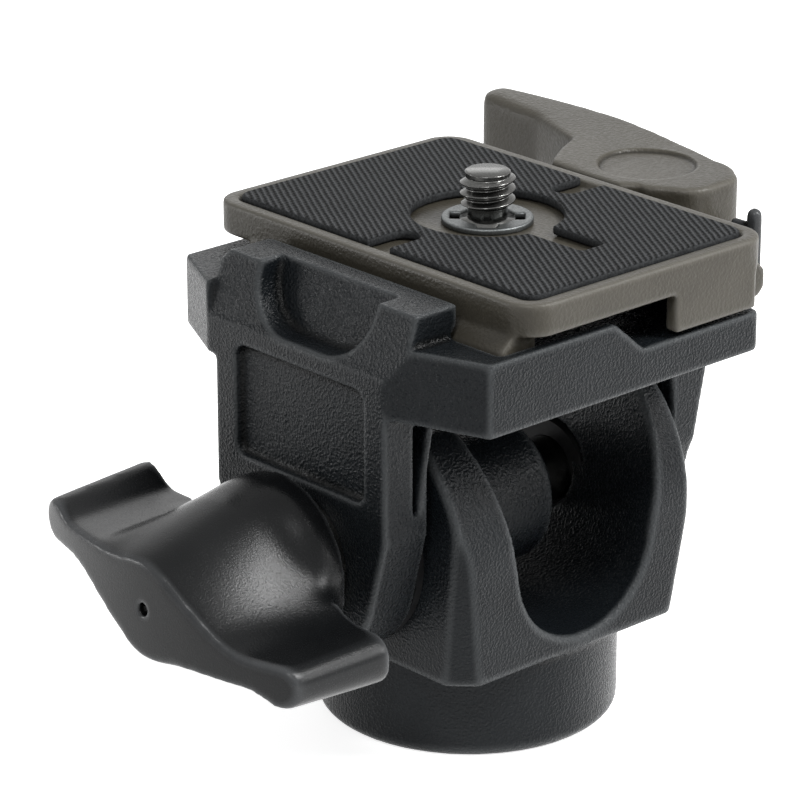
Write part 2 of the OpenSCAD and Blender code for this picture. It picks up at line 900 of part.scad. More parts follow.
module thrust_washer() {
    color(steel)
    pivot_tube(thrust_d / 2, bolt_r + 0.2, -cheek_out - face_gap - thrust_t, -cheek_out - face_gap);
}

// Wing knob

// The body of the knob has half-turn symmetry: its lower edge at x is minus its upper edge at -x
body_steps = 9;
edge_steps = 36;
tip_x = wing_span / 2 - wing_tip_r;
knob_stations = concat(
    [for (a = [15, 40, 65]) -tip_x - wing_tip_r * cos(a)],
    [for (i = [0 : edge_steps]) tip_x * (2 * i / edge_steps - 1)],
    [for (a = [65, 40, 15]) tip_x + wing_tip_r * cos(a)]
);

// The larger of two heights, with a fillet of about that reach where they cross
function soft_max(a, b, reach) = max(a, b) + pow(max(reach - abs(a - b), 0), 2) / (4 * reach);

// Top of the raised left wing with its scoop, and top of the lowered right wing
function wing_top(x, t) =
    let (
        rise = max(0, min(1, (-x - scoop_x) / (tip_x - scoop_x))),
        scoop_floor = wing_offset + wing_tip_r - scoop_depth
    )
    x < 0
    ? scoop_floor + (scoop_depth + wing_flare * t) * rise * rise * (3 - 2 * rise)
    : wing_tip_r - wing_offset;

// Upper edge of the knob's front: level in the middle, then a slope down to the right wing
function front_edge(x) =
    let (
        crown = front_h - pow(min(x, 0), 2) / (6 * front_h),
        slope = (slant_x - x) * tan(slant),
        middle = -soft_max(-crown, -slope, 1.2)
    )
    soft_max(middle, wing_top(x, 0), x < 0 ? 0.4 : 1.6);

// Upper edge at the back of the wings: a round crest that sweeps down to the right wing
function back_edge(x) =
    let (
        rise = crest_h - wing_top(crest_w, 1),
        round_side = sqrt(max(0, pow(crest_h, 2) - x * x)),
        swept_side = wing_top(x, 1) + rise * pow(0.5 + 0.5 * cos(180 * min(1, x / crest_w)), 0.9)
    )
    x < 0 ? soft_max(round_side, wing_top(x, 1), 1) : swept_side;

function upper_edge(x, t) =
    let (
        flare = wing_flare * t / 2,
        tip = sqrt(max(0, pow(wing_tip_r, 2) - pow(abs(x) - tip_x, 2))),
        swell = pow(t, 0.9)
    )
    abs(x) > tip_x
    ? tip * (1 + flare / wing_tip_r) - sign(x) * (wing_offset + flare)
    : front_edge(x) + (back_edge(x) - front_edge(x)) * swell;

function body_point(x, t, side) =
    let (front_y = x * x / (2 * front_bow_r) - knob_front_y)
    [x, front_y - (wing_back_y + front_y) * t, axis_h + side * upper_edge(side * x, t)];

function quad(a, b, c, d) = [[a, b, c], [a, c, d]];

// Body with both wings, lofted from the bowed front to the back of the wings
module knob_body() {
    n = len(knob_stations);
    points = [
        for (i = [0 : body_steps], x = knob_stations, side = [1, -1])
        body_point(x, i / body_steps, side)
    ];
    function up(i, j) = 2 * (i * n + j);
    function low(i, j) = up(i, j) + 1;
    last = body_steps;
    caps = [
        for (j = [0 : n - 2]) each concat(
            quad(up(0, j), up(0, j + 1), low(0, j + 1), low(0, j)),
            quad(up(last, j + 1), up(last, j), low(last, j), low(last, j + 1))
        )
    ];
    faces = [
        for (i = [0 : last - 1], j = [0 : n - 2]) each concat(
            quad(up(i + 1, j), up(i + 1, j + 1), up(i, j + 1), up(i, j)),
            quad(low(i, j), low(i, j + 1), low(i + 1, j + 1), low(i + 1, j))
        )
    ];
    ends = [
        for (i = [0 : last - 1]) each concat(
            quad(up(i + 1, 0), up(i, 0), low(i, 0), low(i + 1, 0)),
            quad(up(i, n - 1), up(i + 1, n - 1), low(i + 1, n - 1), low(i, n - 1))
        )
    ];
    polyhedron(points = points, faces = concat(caps, faces, ends));
}

module wing_knob() {
    color(plastic)
    difference() {
        union() {
            knob_body();
            pivot_rod(knob_d / 2, -wing_back_y - 0.8, -knob_y);
            pivot_rod(collar_d / 2, -knob_y - 0.5, -collar_y);
        }
        pivot_rod(mark_d / 2, -knob_front_y - cut, mark_depth - knob_front_y);
        pivot_rod(bolt_r + 0.2, -knob_y - insert_l - 0.5, 0);
        pivot_rod(insert_d / 2 + seat_gap, -knob_y - insert_l, 0);
    }
}

module knob_insert() {
    color(brass)
    pivot_tube(insert_d / 2, bolt_r + running_gap, -knob_y - insert_l, -collar_y);
}

// Lever

module lever_outline() {
    tab_end = lever_x - lever_reach;
    back_mid_x = (tab_end + lever_x) / 2;
    back_mid_y = lever_y + lever_end_r + 2.6 - lever_back_r;
    tab_front = back_mid_y + sqrt(pow(lever_back_r, 2) - pow(tab_end - back_mid_x, 2)) - tab_t;
    translate([lever_x, lever_y])
    circle(r = lever_end_r);
    intersection() {
        polygon([
            [lever_x - 1.5, lever_front],
            [lever_x - 9, lever_front],
            [tab_end + tab_l + 8, tab_front - 4.6],
            [tab_end + tab_l, tab_front],
            [tab_end + 1.5, tab_front],
            [tab_end, tab_front + 1.5],
            [tab_end, lever_y + lever_back_r],
            [lever_x + lever_end_r * 0.5, lever_y + lever_back_r],
            [lever_x + lever_end_r * 0.5, lever_y - lever_end_r * 0.6]
        ]);
        translate([back_mid_x, back_mid_y])
        circle(r = lever_back_r);
    }
}

module lever_nose_cut() {
    slope_top = neck_z + lip_gap;
    far = lever_x + lever_end_r + cut;
    along_x(lever_x - 4.5, far)
    polygon([
        [lever_front - cut, lever_z - cut],
        [lever_back_y, lever_z - cut],
        [lever_back_y, lever_top - 1.8],
        [lever_front - cut, lever_top - 1.8]
    ]);
    along_x(lever_x - 2 * lever_end_r, lever_x - 4.4)
    polygon([
        [lever_front - cut, lever_z - cut],
        [lever_back_y, lever_z - cut],
        [lever_back_y, slope_top - (lever_back_y - plate_back)],
        [lever_front - cut, slope_top - (lever_front - cut - plate_back)]
    ]);
}

module lock_lever() {
    tab_end = lever_x - lever_reach;
    color(taupe)
    difference() {
        union() {
            translate([0, 0, lever_z])
            linear_extrude(height = lever_t) lever_outline();
            translate([0, 0, lever_z - tab_drop])
            linear_extrude(height = tab_drop + cut)
            intersection() {
                lever_outline();
                translate([tab_end - cut, 0])
                square([tab_l + cut, 4 * lever_y]);
            }
        }
        lever_nose_cut();
        translate([lever_x - 4.6, lever_y - 0.6, lever_top - dial_depth])
        cylinder(d = dial_d, h = dial_depth + cut);
        translate([lever_x, lever_y, lever_z - cut])
        cylinder(d = lever_screw_d + 2 * seat_gap, h = lever_t - 1.6 + cut);
        translate([lever_x, lever_y, lever_z - cut])
        difference() {
            cylinder(r = spring_well_r, h = lever_t / 3 + cut);
            translate([0, 0, -cut])
            cylinder(r = spring_core_r, h = lever_t);
        }
    }
}

module lever_pivot_screw() {
    color(steel)
    translate([lever_x, lever_y, 0])
    difference() {
        union() {
            translate([0, 0, lever_head_z])
            cylinder(d = lever_head_d, h = lever_head_t);
            translate([0, 0, lever_head_z])
            cylinder(d = lever_screw_d, h = lever_z + lever_t - 1.8 - lever_head_z);
        }
        translate([-lever_head_d, -0.6, lever_head_z - cut])
        cube([2 * lever_head_d, 1.2, cut + 0.9]);
    }
}

module lever_washer() {
    color(steel)
    translate([lever_x, lever_y, deck_z - face_gap - lever_washer_t])
    difference() {
        cylinder(d = lever_head_d, h = lever_washer_t);
        translate([0, 0, -cut])
        cylinder(d = lever_screw_d + 0.4, h = lever_washer_t + 2 * cut);
    }
}

module lever_spring() {
    color(steel)
    translate([lever_x, lever_y, lug_z + 0.4])
    coil(lever_coil_r, lever_wire, lever_turns);
}

// Release pin

module release_pin() {
    dome_h = 0.8;
    color(brass)
    translate([release_x, release_y, release_pin_z]) {
        cylinder(d = release_d, h = release_pin_top - dome_h - release_pin_z);
        translate([0, 0, release_pin_top - dome_h - release_pin_z])
        cylinder(d1 = release_d, d2 = release_d - 2 * dome_h, h = dome_h);
    }
}

module release_spring() {
    color(steel)
    translate([release_x, release_y, release_floor + 0.1])
    coil(release_d / 2 - release_wire / 2 - 0.3, release_wire, release_turns);
}

// Safety catch

module safety_catch() {
    post_r = catch_post_d / 2;
    post_top = lug_z + catch_post_h - post_r;
    nub_z = post_top - 1.6;
    color(plastic)
    difference() {
        union() {
            translate([catch_axis_x, catch_hub_back, catch_axis_z])
            rotate([90, 0, 0])
            cylinder(d = catch_hub_d, h = catch_hub_l);
            translate([catch_x, catch_y, catch_axis_z])
            cylinder(r = post_r, h = post_top - catch_axis_z);
            translate([catch_x, catch_y, post_top])
            sphere(r = post_r);
            translate([catch_x, catch_y, nub_z])
            rotate([0, -90, 0])
            cylinder(r = post_r * 0.7, h = catch_x - lever_x - lever_end_r - 0.8);
        }
        translate([catch_axis_x, catch_hub_back + cut, catch_axis_z])
        rotate([90, 0, 0])
        cylinder(d = catch_pin_d + 2 * running_gap, h = catch_hub_l + 2 * cut);
    }
}

module catch_pin() {
    color(steel)
    translate([catch_axis_x, catch_pin_back, catch_axis_z])
    rotate([90, 0, 0])
    cylinder(d = catch_pin_d, h = catch_pin_back - catch_pin_front);
}

module catch_spring() {
    color(steel)
    translate([catch_axis_x, catch_hub_front - 0.2, catch_axis_z])
    rotate([90, 0, 0])
    coil(catch_pin_d / 2 + catch_wire / 2 + 0.25, catch_wire, catch_turns);
}

// Plate

// Section of the rear dovetail flange in Y and Z, measured from the plate's middle
module flange_section() {
    polygon([
        [plate_half - flange_in, web_z + 0.5],
        [plate_half - flange_in, plate_z],
        [plate_half + flange_out - 1.2, plate_z],
        [plate_half + flange_out, plate_z + 1.2],
        [plate_half + flange_out, nose_z],
        [plate_half, neck_z],
        [plate_half, web_z + 0.5]
    ]);
}

module quick_plate() {
    inner_w = plate_w - 2 * flange_in;
    end_x = plate_l / 2;
    skirt_y = plate_back - 2.2 - skirt_l;
    color(taupe)
    difference() {
        union() {
            translate([0, plate_y, rim_low])
            linear_extrude(height = rim_h) round_rect(plate_l, plate_w, plate_r);
            translate([0, plate_y, 0]) {
                along_x(plate_r - end_x, end_x - 2.4) flange_section();
                mirror([0, 1, 0])
                along_x(-flange_left, flange_right) flange_section();
            }
            for (side = [-1, 1])
                translate([side > 0 ? end_x - skirt_t : -end_x, skirt_y, plate_z])
                cube([skirt_t, skirt_l, rim_low - plate_z + 1]);
        }
        translate([0, plate_y, pad_z])
        linear_extrude(height = seat_depth + cut)
        round_rect(plate_l - 2 * rim_t, plate_w - 2 * rim_t, max(0.4, plate_r - rim_t));
        translate([skirt_t - end_x, plate_y - inner_w / 2, plate_z - cut])
        cube([plate_l - 2 * skirt_t, inner_w, web_z - plate_z + cut]);
        translate([0, plate_y, web_z - cut])
        cylinder(d = screw_d + ring_notch_w, h = web_t + 2 * cut);
    }
}

module pad_channels() {
    pad_edge = plate_w / 2 - rim_t;
    circle(d = pad_hole_d);
    translate([0, -channel_w / 2])
    square([channel_reach, channel_w]);
    for (side = [-1, 1])
        translate([0, side * (pad_edge - notch_l + channel_w / 2)]) {
            circle(d = channel_w);
            translate([-channel_w / 2, side > 0 ? 0 : -notch_l])
            square([channel_w, notch_l]);
        }
}

module plate_pad() {
    inset = 0.15;
    color(rubber)
    translate([0, plate_y, pad_z + seat_gap])
    linear_extrude(height = seat_depth + pad_proud)
    difference() {
        round_rect(plate_l - 2 * rim_t - 2 * inset, plate_w - 2 * rim_t - 2 * inset, pad_r);
        pad_channels();
    }
}

module screw_retainer() {
    ring_r = ring_d / 2;
    color(steel)
    translate([0, plate_y, pad_z + seat_gap])
    linear_extrude(height = ring_t)
    difference() {
        circle(r = ring_r);
        circle(d = screw_d + 2 * running_gap);
        for (turn = [45, 135])
            rotate(turn)
            square([2 * ring_r - 2, ring_notch_w], center = true);
    }
}

module camera_screw() {
    head_z = web_z - 0.1 - screw_head_t;
    tip = 0.6;
    top = rim_top + screw_reach;
    color(steel)
    translate([0, plate_y, 0])
    difference() {
        union() {
            translate([0, 0, head_z])
            cylinder(d = screw_head_d, h = screw_head_t);
            translate([0, 0, head_z])
            cylinder(d = screw_d, h = rim_top - head_z);
            translate([0, 0, head_z])
            cylinder(d = screw_relief_d, h = top - tip - head_z);
            translate([0, 0, rim_top + screw_relief_l])
            cylinder(d = screw_d, h = screw_reach - tip - screw_relief_l);
            translate([0, 0, top - tip])
            cylinder(d1 = screw_d, d2 = screw_d - 2 * tip, h = tip);
        }
        translate([-screw_head_d, -coin_slot_w / 2, head_z - cut])
        cube([2 * screw_head_d, coin_slot_w, cut + screw_head_t / 2]);
    }
}

base_fork();
bush_front();
bush_rear();
tilt_platform();
friction_washer_front();
friction_washer_rear();
pivot_bolt();
thrust_washer();
wing_knob();
knob_insert();
lock_lever();
lever_pivot_screw();
lever_washer();
lever_spring();
release_pin();
release_spring();
safety_catch();
catch_pin();
catch_spring();
quick_plate();
plate_pad();
screw_retainer();
camera_screw();
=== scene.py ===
"""Looks of a monopod tilt head: soft castings, a twill pad, a threaded screw, studio light."""
import json
import math

import bmesh
import bpy
import numpy as np
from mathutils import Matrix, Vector

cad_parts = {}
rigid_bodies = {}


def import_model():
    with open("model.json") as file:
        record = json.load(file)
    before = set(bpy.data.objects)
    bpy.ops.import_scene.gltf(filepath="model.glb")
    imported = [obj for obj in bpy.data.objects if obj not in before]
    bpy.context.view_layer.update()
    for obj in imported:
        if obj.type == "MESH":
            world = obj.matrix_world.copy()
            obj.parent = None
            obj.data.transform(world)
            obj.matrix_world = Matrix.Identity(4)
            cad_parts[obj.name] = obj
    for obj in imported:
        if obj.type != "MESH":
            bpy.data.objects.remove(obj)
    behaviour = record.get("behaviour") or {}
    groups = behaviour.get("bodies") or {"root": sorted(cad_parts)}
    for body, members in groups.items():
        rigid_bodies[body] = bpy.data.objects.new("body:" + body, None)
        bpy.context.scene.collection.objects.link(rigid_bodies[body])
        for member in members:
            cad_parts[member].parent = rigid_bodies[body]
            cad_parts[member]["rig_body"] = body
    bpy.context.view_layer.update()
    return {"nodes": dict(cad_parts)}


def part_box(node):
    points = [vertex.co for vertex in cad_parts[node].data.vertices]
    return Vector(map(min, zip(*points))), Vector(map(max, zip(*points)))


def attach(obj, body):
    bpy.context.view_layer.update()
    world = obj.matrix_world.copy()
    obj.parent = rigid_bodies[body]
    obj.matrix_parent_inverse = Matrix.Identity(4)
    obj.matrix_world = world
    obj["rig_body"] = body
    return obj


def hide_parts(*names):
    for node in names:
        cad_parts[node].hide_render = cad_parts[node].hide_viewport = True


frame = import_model()
MM = 0.001

# Lengths are in millimetres and angles in degrees.

# Camera of the photograph
CAM_AZIMUTH = 47.475
CAM_ELEVATION = 20.865
CAM_DISTANCE = 469.275
CAM_TARGET = (-6.594, -4.803, 36.66)
CAM_LENS = 182.06
CAM_SENSOR = 36.0
CAM_CLIP = (10, 20000)

# Light: strength of the grey surroundings, the floor's own glow where it is seen,
# and the point that the lamps face
AMBIENT = 0.4
FLOOR_GLOW = 0.78
AIM = (0, 0, 35)

# Twill of the pad: distance between its slanting grooves, their direction, how far they waver
# (in radians of their sine), their depth, and how far below the pad's top they fade out
TWILL_PITCH = 0.72
TWILL_NORMAL = 59
TWILL_WAVER = 1.6
TWILL_DEPTH = 0.2
TWILL_FADE = (0.16, 0.05)

# Dashes that break the grooves, and what the twill, the fibres and the patches add to its shade
DASH_PITCH = 0.67
DASH_SHARE = 0.15
TWILL_TONE = 0.6
FIBRE_TONE = 0.9
PATCH_TONE = 0.3
BASE_TONE = -0.1

# Thread of the camera screw, 1/4-20: size, steepness of its flanks and share of flat crest
THREAD_PITCH = 1.27
THREAD_R = 3.175
THREAD_DEPTH = 0.68
THREAD_STEEP = 1.35
THREAD_CREST = 0.18

# Its neck and the start of its thread above the ring; the thread's end and the plain point
# below the tip; and where the CAD screw is cut and the new one begins, below the ring's top
NECK_R = 2.3
NECK_TOP = 1.2
THREAD_FROM = 1.6
THREAD_END = 0.85
POINT_R = 2.6
POINT_FROM = 0.65
POINT_TO = 0.15
POINT_CHAMFER = 0.2
SCREW_CUT = 0.2
SCREW_LAP = 0.3

# Round recess on top of the lever, from the axis on which the lever turns: the width of its
# slope, and the margin and depth within which the lever's top stays crisp
DIAL_OFFSET = (-4.6, -0.6)
DIAL_R = 6.0
DIAL_DEPTH = 0.4
DIAL_SLOPE = 0.3
DIAL_MARGIN = 0.8
DIAL_SKIN = 1.0

# Lever: rise of its top towards the tab, and where the tab's edges become rounder, along X from
# that axis
TAB_RISE = 1.5
TAB_RISE_FROM = -8
TAB_ROUND = (-17, -34)

# Lever's front edge: its course, and the shift that makes its hollow and its lobe
EDGE_X = (-37, -26, -18, -9)
EDGE_Y = (33.0, 33.0, 28.4, 22.6)
FRONT_X = (-26, -16.9, -15.6, -13, -9)
FRONT_SHIFT = (0, 2.4, 0, -2.6, 0)
FRONT_REACH = (1, 7)
LOBE_BELOW_TOP = (2.8, 1.8)

# Soft corners on the lever's round end: share of the radius, number, turn and extent
END_CORNERS = 0.035
END_COUNT = 6
END_TURN = 28
END_AWAY = (4.5, 6.5)
END_START = (-95, -75)
END_STOP = (40, 62)

# Flare of the fork's front boss: radii at the wall and near the end, where these are along Y,
# and room round the bush
FLARE_R = (9.2, 7.5)
FLARE_Y = (-12, 5.6)
FLARE_ROOM = 0.3

# Collar that leads the knob's dome back to the cheek: radii, length, distance from the knob's
# back, room round the insert, and the zone that is smoothed, from the back and from the axis
COLLAR_R = (8.8, 10.7)
COLLAR_L = 6.5
COLLAR_BACK = 1.2
COLLAR_ROOM = 0.4
COLLAR_START = (1.2, 2.6)
COLLAR_STOP = (7, 10)
COLLAR_REACH = (11.5, 13)

# Small hole in the knob's front, whose edge stays crisp: radius, depth and share of smoothing
HOLE_R = 2.2
HOLE_DEPTH = 4
HOLE_SHARE = 0.1

# Share of the way to its neighbours' mean that a point moves in one pass of smoothing
RELAX_STEP = 0.5

# Painted edge light: smoothing against which edges stand out, and from where to where the
# painted highlight on outer edges and the painted shade in inner edges grow
STAND_PASSES = 14
STAND_RANGE = (0.03, 0.12)

# Places of the two colours and of the result among a Mix node's sockets
MIX_FIRST = 6
MIX_SECOND = 7
MIX_RESULT = 2


def new_object(name, data):
    obj = bpy.data.objects.new(name, data)
    bpy.context.scene.collection.objects.link(obj)
    return obj


def box_mm(node):
    """Lowest and highest corners of a CAD node, in millimetres."""
    low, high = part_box(node)
    return np.array(low) / MM, np.array(high) / MM


# Materials


class Nodes:
    """A material's node tree with short calls for the nodes used here."""

    def __init__(self, name):
        self.material = bpy.data.materials.new(name)
        self.material.use_nodes = True
        self.tree = self.material.node_tree
        self.shader = self.tree.nodes["Principled BSDF"]
        self.place = self.add("ShaderNodeTexCoord").outputs["Object"]

    def add(self, kind, **settings):
        node = self.tree.nodes.new(kind)
        for key, value in settings.items():
            setattr(node, key, value)
        return node

    def link(self, source, target):
        self.tree.links.new(source, target)

    def feed(self, socket, source):
        """Links a value to one of the shader's sockets."""
        self.link(source, self.shader.inputs[socket])

    def set(self, **values):
        """Sets shader sockets directly, such as metallic=1.0 or specular_ior_level=0.3."""
        names = {socket.name.lower().replace(" ", "_"): socket for socket in self.shader.inputs}
        for key, value in values.items():
            names[key].default_value = value

    def noise(self, size_mm, detail=2.0):
        """Noise whose grains are about size_mm across, as a value from 0 to 1."""
        node = self.add("ShaderNodeTexNoise")
        self.link(self.place, node.inputs["Vector"])
        node.inputs["Scale"].default_value = 1 / (size_mm * MM)
        node.inputs["Detail"].default_value = detail
        node.inputs["Roughness"].default_value = 0.5
        return node.outputs["Fac"]

    def ramp(self, value, stops):
        """Colours or greys over a value; each stop is a place and a colour."""
        node = self.add("ShaderNodeValToRGB")
        node.color_ramp.interpolation = "EASE"
        elements = node.color_ramp.elements
        for element, (place, colour) in zip(elements, stops):
            element.position = place
            grey = not hasattr(colour, "__len__")
            element.color = (colour, colour, colour, 1) if grey else (*colour, 1)
        self.link(value, node.inputs["Fac"])
        return node.outputs["Color"]

    def math(self, operation, *values):
        node = self.add("ShaderNodeMath", operation=operation)
        for socket, value in zip(node.inputs, values):
            if hasattr(value, "is_linked"):
                self.link(value, socket)
            else:
                socket.default_value = value
        return node.outputs["Value"]

    def between(self, value, start, end, **settings):
        """0 where the value is at start, 1 at end."""
        node = self.add("ShaderNodeMapRange", **settings)
        self.link(value, node.inputs["Value"])
        node.inputs["From Min"].default_value = start
        node.inputs["From Max"].default_value = end
        return node.outputs["Result"]

    def painted_edge_light(self, colour, light, dark):
        """The colour, with a painted highlight along outer edges and a painted shade along inner
        edges and creases.
        """
        stand = self.add("ShaderNodeAttribute", attribute_name="stand").outputs["Fac"]
        for sign, tone in ((1, light), (-1, dark)):
            mix = self.add("ShaderNodeMix", data_type="RGBA")
            start, end = STAND_RANGE
            self.link(self.between(stand, sign * start, sign * end), mix.inputs["Factor"])
            self.link(colour, mix.inputs[MIX_FIRST])
            mix.inputs[MIX_SECOND].default_value = (*tone, 1)
            colour = mix.outputs[MIX_RESULT]
        return colour

    def axes(self):
        """X, Y and Z of the place on the piece."""
        split = self.add("ShaderNodeSeparateXYZ")
        self.link(self.place, split.inputs[0])
        return split.outputs

    def stripes(self, pitch_mm, degrees, shift):
        """A sine from -1 to 1 across level lines whose normal is turned from X by degrees."""
        axes = self.axes()
        rate = 2 * math.pi / (pitch_mm * MM)
        along_x = self.math("MULTIPLY", axes["X"], rate * math.cos(math.radians(degrees)))
        along_y = self.math("MULTIPLY", axes["Y"], rate * math.sin(math.radians(degrees)))
        phase = self.math("ADD", self.math("ADD", along_x, along_y), shift)
        return self.math("SINE", phase)

    def bump(self, height, depth_mm, strength=1.0, below=None):
        node = self.add("ShaderNodeBump")
        node.inputs["Strength"].default_value = strength
        node.inputs["Distance"].default_value = depth_mm * MM
        self.link(height, node.inputs["Height"])
        if below is not None:
            self.link(below, node.inputs["Normal"])
        return node.outputs["Normal"]


def casting_material():
    """Charcoal crinkle paint on die-cast alloy."""
    n = Nodes("crinkle_paint")
    grain = n.noise(size_mm=0.32)
    patches = n.noise(size_mm=9.0)
    shades = [(0.3, (0.0044, 0.0056, 0.0068)), (0.7, (0.0070, 0.0086, 0.0100))]
    # Painted highlight along outer edges and painted shade in inner edges and creases, laid into
    # the base colour
    painted_edge_highlight, painted_crease_shade = (0.038, 0.041, 0.043), (0.0015, 0.0018, 0.0020)
    n.feed("Base Color", n.painted_edge_light(n.ramp(patches, shades), painted_edge_highlight, painted_crease_shade))
    n.feed("Roughness", n.ramp(grain, [(0.35, 0.34), (0.65, 0.2)]))
    n.set(specular_ior_level=0.12)
    n.feed("Normal", n.bump(grain, depth_mm=0.17))
    return n.material


def knob_material():
    """Satin black moulding with a very fine spark finish."""
    n = Nodes("satin_black")
    grain = n.noise(size_mm=0.2)
    patches = n.noise(size_mm=8.0)
    shades = [(0.3, (0.0036, 0.0040, 0.0044)), (0.7, (0.0054, 0.0058, 0.0062))]
    # Painted highlight along outer edges and painted shade in inner edges and creases, laid into
    # the base colour
    painted_edge_highlight, painted_crease_shade = (0.044, 0.046, 0.048), (0.0015, 0.0016, 0.0018)
    n.feed("Base Color", n.painted_edge_light(n.ramp(patches, shades), painted_edge_highlight, painted_crease_shade))
    n.feed("Roughness", n.ramp(grain, [(0.3, 0.28), (0.7, 0.22)]))
    n.set(specular_ior_level=0.18)
    n.feed("Normal", n.bump(grain, depth_mm=0.022))
    return n.material


def taupe_material():
    """Olive grey satin paint on the plate and the lever, with a fine grain."""
    n = Nodes("taupe_paint")
    grain = n.noise(size_mm=0.4)
    patches = n.noise(size_mm=7.0, detail=3.0)
    shades = [(0.3, (0.038, 0.0342, 0.0262)), (0.7, (0.047, 0.0425, 0.0332))]
    # Painted highlight along outer edges and painted shade in inner edges and creases, laid into
    # the base colour
    painted_edge_highlight, painted_crease_shade = (0.072, 0.067, 0.056), (0.020, 0.018, 0.014)
    n.feed("Base Color", n.painted_edge_light(n.ramp(patches, shades), painted_edge_highlight, painted_crease_shade))
    n.feed("Roughness", n.ramp(grain, [(0.3, 0.44), (0.7, 0.34)]))
    n.set(specular_ior_level=0.21)
    n.feed("Normal", n.bump(grain, depth_mm=0.08))
    return n.material


def pad_material():
    """Charcoal rubber with a fine slanting twill on its flat top, plain on its rounded edge."""
    n = Nodes("twill_rubber")
    patches = n.noise(size_mm=6.0)
    fibres = n.noise(size_mm=0.3)
    waver = n.math("MULTIPLY", n.noise(size_mm=1.2, detail=1.0), TWILL_WAVER)
    grooves = n.stripes(TWILL_PITCH, TWILL_NORMAL, waver)
    dashes = n.stripes(DASH_PITCH, 0, waver)
    weave = n.math("ADD", grooves, n.math("MULTIPLY", dashes, DASH_SHARE))
    top = box_mm("plate_pad")[1][2]
    start, end = [(top - depth) * MM for depth in TWILL_FADE]
    flat = n.between(n.axes()["Z"], start, end, interpolation_type="SMOOTHSTEP")
    height = n.math("MULTIPLY", weave, flat)
    tone = n.math("MULTIPLY_ADD", patches, PATCH_TONE, BASE_TONE)
    tone = n.math("MULTIPLY_ADD", fibres, FIBRE_TONE, tone)
    shade = n.math("MULTIPLY_ADD", height, TWILL_TONE, tone)
    shades = [(0.0, (0.003, 0.0032, 0.0035)), (1.0, (0.036, 0.0378, 0.0396))]
    n.feed("Base Color", n.ramp(shade, shades))
    n.feed("Roughness", n.ramp(fibres, [(0.3, 0.72), (0.7, 0.60)]))
    n.set(specular_ior_level=0.1)
    rough = n.bump(fibres, depth_mm=0.03, strength=0.6)
    n.feed("Normal", n.bump(height, TWILL_DEPTH, strength=0.8, below=rough))
    return n.material


def metal_material(name, dark, light, rough):
    """Turned metal with faint drag marks."""
    n = Nodes(name)
    marks = n.noise(size_mm=0.2)
    n.feed("Base Color", n.ramp(marks, [(0.3, dark), (0.7, light)]))
    n.feed("Roughness", n.ramp(marks, [(0.3, rough + 0.08), (0.7, rough)]))
    n.set(metallic=1.0)
    n.feed("Normal", n.bump(marks, depth_mm=0.01, strength=0.4))
    return n.material


def nylon_material():
    """Black nylon with a faint moulded grain."""
    n = Nodes("black_nylon")
    marks = n.noise(size_mm=0.8)
    shades = [(0.3, (0.008, 0.008, 0.0085)), (0.7, (0.012, 0.012, 0.0125))]
    n.feed("Base Color", n.ramp(marks, shades))
    n.set(roughness=0.5, specular_ior_level=0.1)
    n.feed("Normal", n.bump(marks, depth_mm=0.01, strength=0.3))
    return n.material


CASTING = casting_material()
KNOB = knob_material()
TAUPE = taupe_material()
PAD = pad_material()
NYLON = nylon_material()
STEEL = metal_material("blackened_steel", (0.085, 0.085, 0.082), (0.130, 0.130, 0.125), 0.18)
RING = metal_material("ring_steel", (0.105, 0.112, 0.113), (0.155, 0.163, 0.163), 0.42)
SPRING = metal_material("spring_steel", (0.30, 0.30, 0.30), (0.42, 0.42, 0.42), 0.25)
BRASS = metal_material("brass", (0.50, 0.36, 0.14), (0.58, 0.42, 0.18), 0.28)


# Meshes


def get_points(mesh):
    """A mesh's points, in millimetres."""
    points = np.empty(3 * len(mesh.vertices), np.float32)
    mesh.vertices.foreach_get("co", points)
    return points.reshape(-1, 3).astype(float) / MM


def set_points(mesh, points):
    mesh.vertices.foreach_set("co", (points * MM).astype(np.float32).ravel())
    mesh.update()


def even_mesh(mesh, voxel_mm):
    """The mesh rebuilt from small even faces."""
    obj = new_object("even", mesh.copy())
    remesh = obj.modifiers.new("even", "REMESH")
    remesh.mode = "VOXEL"
    remesh.voxel_size = voxel_mm * MM
    bpy.context.view_layer.update()
    graph = bpy.context.evaluated_depsgraph_get()
    result = bpy.data.meshes.new_from_object(obj.evaluated_get(graph))
    bpy.data.objects.remove(obj)
    return result


def relaxed(mesh, points, passes, weight=None):
    """The points, each moved towards the mean of its neighbours a number of times."""
    count = len(points)
    ends = np.empty(2 * len(mesh.edges), np.int32)
    mesh.edges.foreach_get("vertices", ends)
    first, second = ends.reshape(-1, 2).T
    own = np.concatenate([first, second])
    other = np.concatenate([second, first])
    degree = np.bincount(own, minlength=count)[:, None]
    share = RELAX_STEP if weight is None else RELAX_STEP * weight(points)[:, None]
    points = points.copy()
    for _ in range(passes):
        sums = [np.bincount(own, points[other, axis], count) for axis in range(3)]
        points += share * (np.stack(sums, 1) / degree - points)
    return points


def soften(mesh, passes, weight=None):
    """Makes edges round."""
    set_points(mesh, relaxed(mesh, get_points(mesh), passes, weight))


def mark_edges(mesh):
    """Keeps with each point how far it stands out of its surroundings, in millimetres."""
    points = get_points(mesh)
    normals = np.empty(3 * len(points), np.float32)
    mesh.vertices.foreach_get("normal", normals)
    moved = points - relaxed(mesh, points, STAND_PASSES)
    stand = np.sum(moved * normals.reshape(-1, 3), axis=1)
    attribute = mesh.attributes.new("stand", "FLOAT", "POINT")
    attribute.data.foreach_set("value", stand.astype(np.float32))


def dress(name, mesh, node, material):
    """Puts a finished mesh in the scene in place of a CAD node."""
    mesh.materials.clear()
    mesh.materials.append(material)
    for face in mesh.polygons:
        face.material_index = 0
        face.use_smooth = True
    mark_edges(mesh)
    obj = new_object(name, mesh)
    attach(obj, frame["nodes"][node]["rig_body"])
    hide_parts(node)
    return obj


